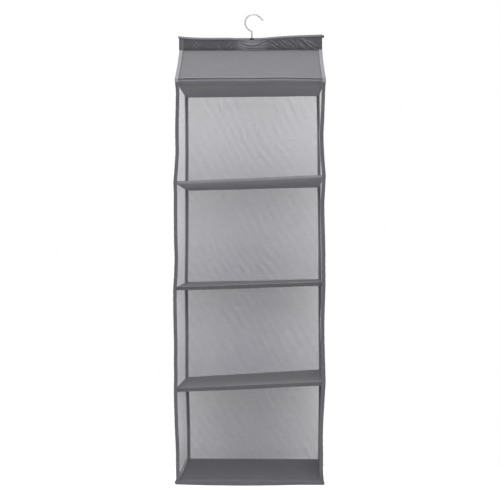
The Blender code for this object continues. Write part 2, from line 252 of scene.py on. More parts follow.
def slab_faces(keep, wrap=False, both=True):
    """Faces of a sheet between two layers of a grid's points, or on one layer, where keep is true.

    keep has a value for each cell of the grid; wrap joins the last column of points to the first.
    """
    rows, cells = keep.shape
    cols = cells if wrap else cells + 1
    size = (rows + 1) * cols

    def vid(corner, layer):
        i, j = corner
        return layer * size + i * cols + j % cols

    faces = []
    for i, j in np.argwhere(keep).tolist():
        loop = [(i, j), (i, j + 1), (i + 1, j + 1), (i + 1, j)]
        faces.append([vid(c, 0) for c in loop])
        if not both:
            continue
        faces.append([vid(c, 1) for c in reversed(loop)])
        beyond = (
            i == 0 or not keep[i - 1, j],
            (not wrap and j == cells - 1) or not keep[i, (j + 1) % cells],
            i == rows - 1 or not keep[i + 1, j],
            (not wrap and j == 0) or not keep[i, j - 1],
        )
        for a, b, open_side in zip(loop, loop[1:] + loop[:1], beyond, strict=True):
            if open_side:
                faces.append([vid(b, 0), vid(a, 0), vid(a, 1), vid(b, 1)])
    return faces


def sheet_mesh(name, p, thickness, inward, material, body, node, slot, keep=None, wrap=False, **facts):
    """A sheet of cloth through a grid of points, thickened to one side into a closed mesh. Nets stay thin.

    The mesh carries its flat lengths as UVs and its distance to the border.
    """
    rows, cols = p.shape[:2]
    other = p + grid_normals(p, wrap) * thickness * inward
    v_len, u_len = lengths(p, 0), lengths(p, 1)
    keep = np.ones((rows - 1, cols if wrap else cols - 1), bool) if keep is None else keep
    verts = np.concatenate([p.reshape(-1, 3), other.reshape(-1, 3)])
    faces = slab_faces(keep, wrap, thickness > 0)
    if inward > 0:
        faces = [f[::-1] for f in faces]
    used = sorted({v for f in faces for v in f})
    renumber = {v: i for i, v in enumerate(used)}
    mesh = bpy.data.meshes.new(name)
    mesh.from_pydata([tuple(verts[v]) for v in used], [], [[renumber[v] for v in f] for f in faces])
    mesh.update()
    ii, jj = np.divmod(np.array(used) % (rows * cols), cols)
    uv = np.stack([u_len[jj], v_len[ii]], -1)
    from_v = np.minimum(uv[:, 1], v_len[-1] - uv[:, 1])
    from_u = np.full(len(used), 1.0) if wrap else np.minimum(uv[:, 0], u_len[-1] - uv[:, 0])
    rim = mesh.attributes.new("rim", "FLOAT", "POINT")
    rim.data.foreach_set("value", np.minimum(from_u, from_v).astype(np.float32))
    layer = mesh.uv_layers.new(name="cloth")
    corner = np.zeros(len(mesh.loops), np.int32)
    mesh.loops.foreach_get("vertex_index", corner)
    layer.data.foreach_set("uv", uv[corner].astype(np.float32).ravel())
    mesh.shade_smooth()
    mesh.set_sharp_from_angle(angle=math.radians(50))
    obj = add_piece(mesh, material, body, node)
    return obj


def point_attribute(obj, name, values):
    """A float per vertex, read by the material. values takes the vertices' places and returns floats."""
    co = np.array([v.co for v in obj.data.vertices], float).reshape(-1, 3)
    made = obj.data.attributes.new(name, "FLOAT", "POINT")
    made.data.foreach_set("value", np.broadcast_to(values(co), len(co)).astype(np.float32))


# ------------ materials

class Look:
    """The node tree of a material, or of the world, with short calls to add nodes."""

    def __init__(self, name, blocks=bpy.data.materials, shader="Principled BSDF"):
        self.block = blocks.new(name)
        self.block.use_nodes = True
        self.tree = self.block.node_tree
        self.shader = self.tree.nodes[shader]

    def node(self, kind, inputs=None, output=0, **settings):
        made = self.tree.nodes.new("ShaderNode" + kind)
        for key, value in settings.items():
            setattr(made, key, value)
        for key, value in (inputs or {}).items():
            self.feed(made.inputs[key], value)
        return made.outputs[output]

    def feed(self, socket, value):
        if isinstance(value, bpy.types.NodeSocket):
            self.tree.links.new(value, socket)
        else:
            socket.default_value = value

    def math(self, operation, a, b=0.0):
        return self.node("Math", {0: a, 1: b}, operation=operation)

    def times(self, a, b):
        return self.math("MULTIPLY", a, b)

    def plus(self, a, b):
        return self.math("ADD", a, b)

    def apart(self, a, b):
        return self.math("ABSOLUTE", self.math("SUBTRACT", a, b))

    def remap(self, value, low, high, to_low=0.0, to_high=1.0, smooth_step=False):
        kind = "SMOOTHSTEP" if smooth_step else "LINEAR"
        inputs = {0: value, 1: low, 2: high, 3: to_low, 4: to_high}
        return self.node("MapRange", inputs, interpolation_type=kind, clamp=True)

    def mix(self, share, a, b):
        return self.node("Mix", {0: share, 6: a, 7: b}, output=2, data_type="RGBA")

    def split(self, vector):
        made = self.tree.nodes.new("ShaderNodeSeparateXYZ")
        self.tree.links.new(vector, made.inputs[0])
        return made.outputs

    def places(self):
        return self.node("TexCoord", output=3)

    def dyed(self, large, colour, spread):
        """The colour, lighter and darker by the spread over large patches."""
        return self.mix(self.remap(large, 0.3, 0.7), shade(colour, 1 - spread), shade(colour, 1 + spread))

    def finish(self, base, rough, relief, strength, distance=0.0003, **more):
        """Connects colour, roughness, relief and what else is named, and gives the material."""
        normal = self.node("Bump", {"Height": relief, "Strength": strength, "Distance": distance})
        self.set(Base_Color=base, Roughness=rough, Normal=normal, **more)
        return self.block

    def cloth_uv(self):
        """Flat lengths along the cloth in metres, across and down."""
        uv = self.node("UVMap", uv_map="cloth")
        u, v, _ = self.split(uv)
        return uv, u, v

    def attribute(self, name):
        return self.node("Attribute", output=2, attribute_name=name)

    def noise(self, vector, scale, detail=2.0, rough=0.5):
        return self.node("TexNoise", {"Vector": vector, "Scale": scale, "Detail": detail, "Roughness": rough})

    def scaled(self, vector, scale):
        return self.node("Mapping", {"Vector": vector, "Scale": scale})

    def wave(self, value, pitch):
        """Sine of the value, one turn per pitch."""
        return self.math("SINE", self.times(value, 2 * math.pi / pitch))

    def set(self, **values):
        for key, value in values.items():
            self.feed(self.shader.inputs[key.replace("_", " ")], value)

    def seam(self, rim, offset, width, along, pitch, furrow):
        """A sewn line at an offset from the border: the share of thread at each place, and the relief.

        width is where the thread's edge starts and ends; furrow is the width and depth that it sinks.
        """
        away = self.apart(rim, offset)
        dash = self.remap(self.wave(along, pitch), -0.5, -0.2)
        thread = self.times(self.remap(away, *width, 1.0, 0.0), dash)
        sunk = self.remap(away, 0.0, furrow[0], -furrow[1], 0.0, smooth_step=True)
        return thread, self.plus(sunk, self.times(thread, 2.0))


def shade(colour, factor):
    """The colour made lighter or darker, with an alpha of 1."""
    return (*(min(1.0, c * factor) for c in colour), 1.0)


def cloth_look(name, colour, blotch=0.10, stitch=None, sheen=0.12, extra=()):
    """Plain-woven cloth: crossing threads, uneven dye, worn edges and a sewn line along the border.

    stitch is the line's offset and colour. extra names what else tints the cloth: an attribute of painted
    highlight with a paler hem, an attribute of painted shade near the front with a darker front edge, and a
    painted shadow, the dark line next to the roof's tapes.
    """
    look = Look(name)
    uv, u, v = look.cloth_uv()
    weave = look.times(look.wave(u, 0.0011), look.wave(v, 0.0011))
    large = look.noise(look.places(), 22.0, 3.0, 0.6)
    slubs = look.noise(look.scaled(uv, (300.0, 2400.0, 1.0)), 1.0, 2.0)
    base = look.dyed(large, colour, blotch)
    base = look.mix(look.remap(weave, -1.0, 1.0, 0.0, 0.16), base, shade(colour, 1.7))
    base = look.mix(look.remap(slubs, 0.55, 0.8, 0.0, 0.22), base, shade(colour, 1.5))
    # Painted highlight on the sleeve, with a paler hem, from a point attribute.
    if "highlight_and_pale_hem" in extra:
        base = look.mix(look.attribute("highlight_and_pale_hem"), base, shade(colour, 3.2))
    # Painted shade near the front of the ceiling and the bottom; a darker front edge on shelves 2 and 3.
    if "front_shade_and_dark_edge" in extra:
        base = look.mix(look.attribute("front_shade_and_dark_edge"), base, shade(colour, 0.35))
    # Painted shadow: a dark line on the roof cloth beside each tape's inner edge.
    if "tape_shadow_line" in extra:
        middle = look.apart(u, HALF[0] - 0.0014)
        line = look.apart(middle, HALF[0] - 0.0082)
        base = look.mix(look.remap(line, 0.0004, 0.0016, 0.6, 0.0), base, shade(colour, 0.35))
    rim = look.attribute("rim")
    worn = look.times(look.remap(rim, 0.0, 0.0016, 1.0, 0.0), look.remap(large, 0.35, 0.65))
    base = look.mix(look.times(worn, 0.4), base, shade(colour, 1.6))
    height = look.plus(look.times(weave, 0.5), look.times(slubs, 0.8))
    if stitch:
        offset, tint = stitch
        along = look.plus(u, v)
        thread, relief = look.seam(rim, offset, (0.0003, 0.0006), along, 0.0032, (0.0016, 1.6))
        base = look.mix(thread, base, shade(tint, 1.0))
        height = look.plus(height, relief)
    rough = look.remap(large, 0.3, 0.7, 0.78, 0.92)
    return look.finish(base, rough, height, 0.35, Sheen_Weight=sheen, Sheen_Roughness=0.5)


def tape_look(name, colour, tint):
    """Ribbed binding tape: ribs across its length, a sewn line along each edge."""
    look = Look(name)
    uv, u, v = look.cloth_uv()
    ribs = look.wave(v, 0.0012)
    threads = look.wave(u, 0.0007)
    large = look.noise(look.places(), 30.0, 3.0, 0.6)
    lint = look.noise(look.scaled(uv, (900.0, 260.0, 1.0)), 1.0, 2.0)
    base = look.dyed(large, colour, 0.12)
    base = look.mix(look.remap(ribs, -1.0, 1.0, 0.0, 0.2), base, shade(colour, 1.7))
    base = look.mix(look.remap(lint, 0.6, 0.8, 0.0, 0.3), base, shade(colour, 1.8))
    rim = look.attribute("rim")
    thread, relief = look.seam(rim, 0.0019, (0.00028, 0.00055), v, 0.003, (0.0013, 1.4))
    base = look.mix(thread, base, shade(tint, 1.0))
    edge = look.remap(rim, 0.0, 0.0008, 1.0, 0.0)
    worn = look.times(edge, look.remap(large, 0.3, 0.7, 0.2, 0.6))
    base = look.mix(worn, base, shade(colour, 1.7))
    height = look.plus(look.plus(look.times(ribs, 0.6), look.times(threads, 0.2)), relief)
    rough = look.remap(lint, 0.3, 0.7, 0.66, 0.85)
    return look.finish(base, rough, height, 0.45, Sheen_Weight=0.2, Sheen_Roughness=0.4)


HAZE = 0.38  # share of the net's openings that its finest threads fill
NET_PITCH = 0.0040  # two threads of the net, counted across and down
RIB_PITCH, RIB_SLANT = 0.0205, -0.58  # the net's faint ribs: spacing, and shift across per length down


def net_look(name, colour, pale):
    """Knitted net: diagonal threads, open between them. The attribute thread sets their width; a second attribute
    makes the thread paler, painted light.
    """
    look = Look(name)
    uv, u, v = look.cloth_uv()
    place = look.places()
    large = look.noise(place, 16.0, 3.0, 0.6)
    sway = look.times(look.math("SUBTRACT", look.noise(place, 9.0, 1.0), 0.5), 0.002)
    down = look.plus(v, sway)
    first, second = (look.math("ABSOLUTE", look.wave(look.math(way, u, down), NET_PITCH))
                     for way in ("ADD", "SUBTRACT"))
    nearest = look.math("MINIMUM", first, second)
    rows = look.remap(look.noise(look.scaled(uv, (30.0, 260.0, 1.0)), 1.0, 2.0), 0.3, 0.7, -0.035, 0.035)
    bend = look.times(look.noise(place, 5.0, 1.0), 0.060)
    slope = look.plus(look.plus(u, look.times(v, RIB_SLANT)), bend)
    thread = look.attribute("thread")
    patchy = look.remap(large, 0.35, 0.65, 0.010, 0.018)
    strength = look.times(look.math("SUBTRACT", 2.5, thread), patchy)
    ribs = look.times(look.wave(slope, RIB_PITCH), strength)
    width = look.plus(look.plus(thread, rows), ribs)
    solid = look.remap(look.math("SUBTRACT", nearest, width), -0.09, 0.09, 1.0, HAZE, smooth_step=True)
    base = look.dyed(large, colour, 0.07)
    # Painted light: paler thread towards the top of each compartment and on the side nets.
    base = look.mix(look.attribute("lit_paleness"), base, shade(pale, 1.0))
    base = look.mix(look.remap(nearest, 0.0, 0.5, 0.15, 0.0), base, shade(pale, 1.2))
    rough = look.remap(large, 0.3, 0.7, 0.7, 0.86)
    return look.finish(base, rough, nearest, 0.3, Alpha=solid, Sheen_Weight=0.2, Sheen_Roughness=0.4)


def chrome_look():
    """Plated wire: bright, with fine lengthwise drawing marks and a little uneven gloss."""
    look = Look("plated_wire")
    place = look.places()
    marks = look.noise(look.scaled(place, (900.0, 900.0, 90.0)), 1.0, 3.0)
    large = look.noise(place, 60.0, 2.0)
    base = look.mix(look.remap(large, 0.3, 0.7), (0.27, 0.27, 0.28, 1), (0.35, 0.35, 0.36, 1))
    return look.finish(base, look.remap(marks, 0.3, 0.7, 0.38, 0.50), marks, 0.10, 0.0001, Metallic=1.0)


def plastic_look():
    """Moulded black plastic with a fine grain and rubbed, paler high spots."""
    look = Look("moulded_black")
    place = look.places()
    grain = look.noise(place, 2200.0, 3.0, 0.7)
    large = look.noise(place, 180.0, 2.0)
    base = look.mix(look.remap(large, 0.45, 0.75), (0.010, 0.010, 0.012, 1), (0.03, 0.03, 0.033, 1))
    rough = look.remap(grain, 0.3, 0.7, 0.55, 0.75)
    return look.finish(base, rough, grain, 0.25, 0.0002, Specular_IOR_Level=0.2)


def paint_look():
    """Powder-coated tube: dark grey with orange peel and a few rubbed places."""
    look = Look("powder_coat")
    place = look.places()
    peel = look.noise(place, 700.0, 2.0, 0.4)
    rubbed = look.noise(place, 120.0, 4.0, 0.7)
    base = look.mix(look.remap(rubbed, 0.62, 0.75), (0.055, 0.055, 0.06, 1), (0.2, 0.2, 0.21, 1))
    return look.finish(base, look.remap(rubbed, 0.3, 0.7, 0.5, 0.38), peel, 0.3, Metallic=0.2)


def cardboard_look():
    """Grey-brown board: fibres pressed flat, with flecks."""
    look = Look("pressed_board")
    place = look.places()
    fibre = look.noise(look.scaled(place, (120.0, 900.0, 900.0)), 1.0, 4.0, 0.6)
    fleck = look.noise(place, 700.0, 2.0)
    base = look.mix(look.remap(fibre, 0.3, 0.7), (0.34, 0.26, 0.17, 1), (0.50, 0.40, 0.27, 1))
    base = look.mix(look.remap(fleck, 0.66, 0.74, 0.0, 0.7), base, (0.16, 0.12, 0.08, 1))
    return look.finish(base, look.remap(fibre, 0.3, 0.7, 0.85, 0.97), fibre, 0.35)


def grey(value, blue=1.10):
    """A dark dyed grey, a touch cool."""
    return (value, value * 0.98, value * blue)


THREAD_TINT = grey(0.11)
SLEEVE_LOOK = cloth_look("dark_oxford", grey(0.046), blotch=0.16, extra=("highlight_and_pale_hem",))
ROOF_LOOK = cloth_look("roof_cloth", grey(0.088), stitch=(0.0045, THREAD_TINT), extra=("tape_shadow_line",))
GABLE_LOOK = cloth_look("gable_cloth", grey(0.088), stitch=(0.0045, THREAD_TINT))
# The boards' cloth is the roof's grey cloth made paler: painted light for the shade inside the compartments.
SHELF_LOOK = cloth_look("shelf_cloth", grey(0.130), stitch=(0.004, THREAD_TINT), extra=("front_shade_and_dark_edge",))
BOTTOM_LOOK = cloth_look("bottom_cloth", grey(0.121), sheen=0.08, stitch=(0.004, THREAD_TINT), extra=("front_shade_and_dark_edge",))
TAPE_LOOK = tape_look("edge_tape", grey(0.052), grey(0.085))
# The back tapes are the front tapes' tape made nearly three times paler: painted light inside the compartments.
BACK_TAPE_LIT_LOOK = tape_look("back_edge_tape_lit", grey(0.146), grey(0.16))
PALE_TAPE_LOOK = tape_look("roof_edge_tape", grey(0.150), grey(0.20))
HEM_LOOK = tape_look("bottom_tape", grey(0.055), grey(0.085))
NET_LOOK = net_look("grey_net", grey(0.12, 1.16), grey(0.62, 1.12))
BOARD_LOOK = cardboard_look()

# ------------ compartments

def pucker(p, depth, pitch, seed, along):
    """Small gathers along a seam: how far each point moves, by its length along the seam."""
    drawn = np.sin(2 * math.pi * along / pitch + 2.5 * soft_noise(p, 0.05, seed))
    return depth * (0.6 * drawn + 0.8 * soft_noise(p, 0.012, seed + 3))


def thread_width(cover):
    """Thread width for a share of the surface that is covered by the net."""
    cover = np.clip((cover - HAZE) / (1 - HAZE), 0.01, 0.99)
    return np.sin((1 - np.sqrt(1 - cover)) * math.pi / 2)


# Share covered by thread, and paleness of the thread, at the top and the foot of each compartment.
# The paleness is painted light: paler towards the top, and much paler on the side nets.
BACK_COVER = {1: (0.64, 0.785), 2: (0.775, 0.85), 3: (0.80, 0.875), 4: (0.807, 0.884)}
# How much thinner the back net looks towards its left and right edge.
THINNER = {1: (0.045, 0.12), 2: (0.09, 0.155), 3: (0.092, 0.165), 4: (0.134, 0.195)}
BACK_LIT_PALENESS = {1: (0.27, 0.15), 2: (0.15, 0.13), 3: (0.15, 0.15), 4: (0.13, 0.09)}
SIDE_COVER = {1: (0.53, 0.61), 2: (0.65, 0.69), 3: (0.71, 0.74), 4: (0.732, 0.79)}
SIDE_LIT_PALENESS = {1: (1.0, 0.82), 2: (0.80, 0.72), 3: (0.70, 0.68), 4: (0.62, 0.46)}


def net_threads(obj, k, covers, lit_paleness_pairs, half=0.0):
    """Gives the net's points their thread width and their painted paleness, which stands in for light; half thins
    it out towards its sides.
    """
    top, foot = LEVELS[k - 1][0], LEVELS[k][0]

    def between(pair, co):
        t = np.clip((top - co[:, 2]) / (top - foot), 0, 1)
        return pair[0] * (1 - t) + pair[1] * t

    def width(co):
        cover = between(covers[k], co)
        if half:
            u = co[:, 0] / half
            cover = cover - np.where(u < 0, *THINNER[k]) * u ** 2
        return thread_width(cover)

    point_attribute(obj, "thread", width)
    # the paleness is painted light
    point_attribute(obj, "lit_paleness", lambda co: between(lit_paleness_pairs[k], co))


def hung(k, x_sign, y_sign):
    """Height at which board k's corner hangs."""
    return float(at_board(k, x_sign * HALF[k], y_sign * HALF_DEPTH, 0.0)[..., 2])


def squash_walls(obj, k, corners):
    """Gives the piece its own mesh. How far it would fold with the board below rising, and the height of the board
    above that it would fold towards between the named corners, are worked out and not used.
    """
    gone = TRAVEL / np.mean([hung(k - 1, *corner) - hung(k, *corner) for corner in corners])
    anchor = np.mean([hung(k - 1, *corner) for corner in corners])
    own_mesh(obj)


def hang_net(kind, k, p, inward, covers, lit_paleness_pairs, corners, half=0.0):
    """Adds a net over its grid of points; kind is back, left or right."""
    node, above = f"{kind}_mesh_{k}", BOARD_NAMES[k - 1]
    low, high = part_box(node)
    width = high.x - low.x if kind == "back" else high.y - low.y
    obj = sheet_mesh(f"{kind}_net_{k}", p, 0.0, inward, NET_LOOK, above, node, "mesh_net",
                     flat=(width, high.z - low.z), held="hung", rests_on=[f"{above}_cover"])
    net_threads(obj, k, covers, lit_paleness_pairs, half)
    squash_walls(obj, k, corners)


def make_back_net(k):
    """The back of a compartment, bellied a little outwards."""
    t, side = grid(np.linspace(0, 1, 34), np.linspace(-1, 1, 44) * (1 - NET_TRIM / HALF[k]))
    p = at_wall(k, t, side, np.full(t.shape, HALF_DEPTH - WALL_INSET))
    hold = np.sin(math.pi * t) ** 0.8 * (1 - side ** 4)
    p[..., 1] += hold * (0.0016 + 0.0012 * soft_noise(p, 0.07, 11.3 + k))
    p[..., 1] += 0.0004 * soft_noise(p, 0.014, 5.1 + k) * (1 - 0.7 * hold)
    hang_net("back", k, p, 1, BACK_COVER, BACK_LIT_PALENESS, [(-1, 1), (1, 1)], HALF[k])


def make_side_net(k, hand):
    """A side of a compartment, drawn a little inwards."""
    sign = SIGN[hand]
    t, y = grid(np.linspace(0, 1, 34), np.linspace(-1, 1, 40) * (HALF_DEPTH - NET_TRIM))
    p = at_wall(k, t, np.full(t.shape, sign * (1 - WALL_INSET / HALF[k])), y)
    hold = np.sin(math.pi * t) ** 1.5 * (1 - (y / HALF_DEPTH) ** 4)
    p[..., 0] -= sign * hold * (0.0026 + 0.0016 * soft_noise(p, 0.07, 7.7 + k + sign))
    p[..., 0] += 0.0004 * soft_noise(p, 0.014, 2.2 + k) * (1 - 0.7 * hold)
    hang_net(hand, k, p, -sign, SIDE_COVER, SIDE_LIT_PALENESS, [(sign, -1), (sign, 1)])


def fold_profile(leg_in, leg_back, radius):
    """Offsets from a corner along a folded tape, from its front or back leg round to its side leg."""
    line = [(-radius - (leg_in - radius) * share, 0.0) for share in (1.0, 0.75, 0.5, 0.25)]
    for a in (math.pi / 2 * i / 5 for i in range(6)):
        line.append((-radius + radius * math.sin(a), -radius + radius * math.cos(a)))
    line += [(0.0, -radius - (leg_back - radius) * share) for share in (0.25, 0.5, 0.75, 1.0)]
    return np.array(line)


LEG, SIDE_LEG, FOLD = 0.0072, 0.0074, 0.0012  # widths of a corner tape's two legs, and its fold's radius


def make_corner_tape(k, end, hand):
    """The tape folded over an upright edge, gathered a little along its seams."""
    x_sign, y_sign = SIGN[hand], SIGN[end]
    inner, behind = fold_profile(LEG, SIDE_LEG, FOLD).T
    rows = 64
    t = np.linspace(0, 1, rows)
    edge = at_wall(k, t, np.full(rows, float(x_sign)), np.full(rows, y_sign * HALF_DEPTH))
    p = np.repeat(edge[:, None, :], len(inner), axis=1)
    p[..., 0] += inner * x_sign
    p[..., 1] += behind * y_sign
    p[..., 2] += (lean(k - 1) * (1 - t) + lean(k) * t)[:, None] * inner * x_sign
    wrinkle = pucker(edge, 0.00028, 0.013, 20.0 + 3 * k + x_sign + 2 * y_sign, edge[:, 2])
    p[..., 1] += y_sign * wrinkle[:, None] * (0.4 + np.clip(-inner / LEG, 0, 1))
    p[..., 0] += x_sign * 0.7 * wrinkle[::-1, None]
    node = f"{end}_{hand}_tape_{k}"
    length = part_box(node)[1].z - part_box(node)[0].z
    # back tapes take the paler copy of the tape: painted light
    look = TAPE_LOOK if end == "front" else BACK_TAPE_LIT_LOOK
    obj = sheet_mesh(f"{end}_{hand}_binding_{k}", p, TAPE, -x_sign * y_sign, look, BOARD_NAMES[k - 1], node,
                     "tape_cloth", flat=(0.0145, length), held="folded", rests_on=[f"{hand}_net_{k}"])
    squash_walls(obj, k, [(x_sign, y_sign)])


# At each board's left and right end, in mm: how far the top of its front edge leans back over its
# foot, and how far that edge droops below the board.
ROLL = ((-1.2, -1.2), (2.2, 2.2), (-2.6, -2.4), (-2.6, -0.6), (-1.6, -1.6))
DROOP = ((0.0, 0.0), (0.0, 0.0), (3.4, 3.2), (4.2, 2.6), (0.0, 0.0))
# How much darker each board is painted near the front, where that starts, and how far back it reaches:
# painted shade on the ceiling and the bottom, a darker front edge on shelves 2 and 3.
FRONT_SHADE_AND_DARK_EDGE = ((0.52, 0.003, 0.120), (0.0, 0.0, 0.01), (0.98, 0.0, 0.0068), (0.92, 0.0, 0.0068), (0.42, 0.0, 0.060))
# How far the ceiling's front edge droops, in mm: places from -1 at the left to 1 at the right, and drops.
EAVE_AT, EAVE_DROP = (-1, -0.6, 0.0, 0.4, 0.7, 1.0), (0.6, 0.5, 1.0, 0.5, 2.4, 3.8)


def eave_drop(s, y_sign):
    """How far the ceiling's front edge hangs below its level, by the place along it. The back is straight."""
    return np.interp(s, EAVE_AT, np.array(EAVE_DROP) * MM) * (y_sign < 0)


def make_cover(k, material):
    """The cloth pocket round a board, folded round the front edge and open at the back."""
    name = BOARD_NAMES[k]
    half = HALF[k] - COVER_INSET
    front = -(HALF_DEPTH - WALL_INSET)
    back = HALF_DEPTH - COVER_INSET - 0.0004
    thick = COVER / 2
    run = np.linspace(0, 1, 30)
    # Depth, and height from 1 on top to -1 below, from the back over the top and round the front edge.
    section = [(back + (front + thick - back) * share, 1.0) for share in run[:-1]]
    for a in (math.pi * i / 8 for i in range(9)):
        section.append((front + thick - thick * math.sin(a), math.cos(a)))
    section += [(front + thick + (back - front - thick) * share, -1.0) for share in run[1:]]
    y, upper = np.array(section).T[..., None]
    x, y = np.broadcast_arrays(np.linspace(-half, half, 61)[None, :], y)
    pinch = 0.42 + 0.58 * np.sqrt(1 - smooth(half - 0.004, half, np.abs(x)) ** 2)
    dz = upper * thick * pinch
    share = (x / half + 1) / 2
    roll = (ROLL[k][0] + (ROLL[k][1] - ROLL[k][0]) * share) * MM
    droop = (DROOP[k][0] + (DROOP[k][1] - DROOP[k][0]) * share) * MM
    droop *= 1 - 0.35 * np.cos(2 * math.pi * share) * (1 - share)
    on_top = 0.25  # share of the droop that the pocket's upper side follows
    if k == 0:
        droop, on_top = eave_drop(2 * share - 1, -1.0), 1.0
    nose = np.clip((front + 0.012 - y) / 0.012, 0, 1) ** 0.5
    hang = np.clip((front + 0.016 - y) / 0.016, 0, 1) ** 1.4
    dz = dz - droop * hang * (on_top + (1 - on_top) * smooth(1.0, -0.6, upper))
    y = y + (upper * roll + np.abs(roll)) * nose
    flat = at_board(k, x, y, 0.0) * [1, 1, 0]
    ripple = 0.0005 * soft_noise(flat, 0.06, 3.0 + k) + 0.0002 * soft_noise(flat, 0.018, 9 + k)
    p = at_board(k, x, y, dz + ripple)
    length = 2 * (back - front) + math.pi * thick - 2 * thick
    obj = sheet_mesh(f"{name}_pocket", p, CLOTH, 1, material, name, f"{name}_cover", "grey_cloth",
                     flat=(2 * half, length), held="folded", rests_on=[f"{name}_stiffener"])
    # Painted shade near the front of the ceiling and the bottom; a darker front edge on shelves 2 and 3.
    amount, start, reach = FRONT_SHADE_AND_DARK_EDGE[k]

    def front_shade_and_dark_edge(co):
        behind = co[:, 1] - front
        return amount * (1 - smooth(0.4 * reach, reach, behind)) * smooth(start - 0.002, start, behind)

    point_attribute(obj, "front_shade_and_dark_edge", front_shade_and_dark_edge)


def make_stiffener(k):
    """The board in the pocket: a thin plate with slightly crushed edges."""
    name = BOARD_NAMES[k]
    half = HALF[k] - COVER_INSET - 0.005
    front = -(HALF_DEPTH - WALL_INSET) + (0.0062 if k else 0.0135)
    back = HALF_DEPTH - COVER_INSET - 0.0030
    thick, edge = 0.0014, 0.0009
    n = 25
    y, x = grid(np.linspace(front, back, n), np.linspace(-half, half, n))
    near = np.minimum.reduce([half - np.abs(x), y - front, back - y])
    crushed = thick * (0.55 + 0.45 * np.minimum(1.0, near / edge))
    points = np.concatenate([at_board(k, x, y, dz).reshape(-1, 3) for dz in (crushed, -crushed)])
    mesh = bpy.data.meshes.new(f"{name}_stiffener")
    mesh.from_pydata(points.tolist(), [], slab_faces(np.ones((n - 1, n - 1), bool)))
    mesh.update()
    add_piece(mesh, BOARD_LOOK, name, f"{name}_board")


def band_outline(x_half, y_half, radius, steps):
    """Round a rectangle with rounded corners, from the front right one; steps is the pieces per side."""
    arcs = []
    for i, (cx, cy) in enumerate(((1, -1), (1, 1), (-1, 1), (-1, -1))):
        a = math.pi / 2 * (i - 1 + np.linspace(0, 1, 6))
        arcs.append(np.stack([cx * (x_half - radius) + radius * np.cos(a),
                              cy * (y_half - radius) + radius * np.sin(a)], -1))
    share = np.arange(1, steps)[:, None] / steps
    sides = [one[-1] + (other[0] - one[-1]) * share for one, other in zip(arcs, arcs[1:] + arcs[:1], strict=True)]
    return np.concatenate([part for pair in zip(arcs, sides, strict=True) for part in pair])


HEM_HEIGHT = 0.0066  # as much of the band as shows
HEM_WIDTH = 0.0101  # width of the band laid flat; the least width that a sheet may have


def make_hem():
    """The band round the bottom edge, with the ends of the corner tapes tucked into it."""
    k = 4
    x_half = HALF[k] + GAP + TAPE
    y_half = HALF_DEPTH + GAP + TAPE
    x, y = band_outline(x_half, y_half, 0.002, 40).T
    s, x, y = np.broadcast_arrays(np.linspace(0, 1, 7)[:, None], x, y)
    p = np.stack([x, y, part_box("bottom_cover")[1].z - 0.0002 - HEM_HEIGHT * s], -1)
    p[..., 0] += corner_mix(SHIFT[k], *shares(k, x, y)) * MM
    corner = np.exp(-(((x_half - np.abs(x)) ** 2 + (y_half - np.abs(y)) ** 2) / 0.006 ** 2))
    p[..., 0] += np.sign(x) * 0.0014 * corner * np.sin(math.pi * np.clip(s * 0.8 + 0.15, 0, 1))
    front = (y < 0) * (1 - np.clip(np.abs(x + 0.03) / 0.13, 0, 1) ** 2)
    p[..., 2] -= 0.0022 * front * s
    p[..., 2] += 0.0002 * soft_noise(p, 0.02, 31.0)
    p[..., 1] += 0.0003 * soft_noise(p, 0.012, 33.0)
    around = 4 * (x_half + y_half)
    sheet_mesh("bottom_band", p, TAPE, 1, HEM_LOOK, "bottom", "bottom_hem", "tape_cloth", wrap=True,
               flat=(around, HEM_WIDTH), held="stretched", rests_on=["bottom_pocket"], area=around * 0.0080)


# ------------ roof and sleeve

SEAM_LEFT, SEAM_RIGHT = -0.1522, 0.1475  # ends of the seam between roof and sleeve
TUCK = 0.0012  # how far the roof's cloth runs up inside the sleeve's foot
EAVE_OVER = COVER / 2 + 0.0011  # height of the roof's lower edge over the ceiling's sewn edge
APEX = 0.0006  # half of the space between the two slopes at the seam


def roof_edge(sign, r, y_sign):
    """x of the roof's outer edge: r is 0 at the eave and 1 at the seam."""
    eave = at_board(0, sign * HALF[0], y_sign * HALF_DEPTH, 0.0)[..., 0]
    seam = SEAM_LEFT if sign < 0 else SEAM_RIGHT
    return eave + (seam - eave) * r - sign * 0.0008 * np.sin(math.pi * r)


def roof_point(s, r, y_sign, lift=0.0, inset=0.0):
    """A point of the roof's outer face: s is -1 at the left edge and 1 at the right."""
    left = roof_edge(-1, r, y_sign) + inset
    right = roof_edge(1, r, y_sign) - inset
    x = left + (right - left) * (s + 1) / 2
    low = HALF_DEPTH - WALL_INSET
    y = low + 0.0012 * smooth(0.08, 0.0, r) + (APEX - low) * r
    eave = level(0, x) + EAVE_OVER - eave_drop(s, y_sign)
    z = eave + (SEAM - GAP - eave) * r + TUCK * smooth(0.9, 1.0, r) + lift
    return np.stack(np.broadcast_arrays(x, y_sign * y, z), -1)


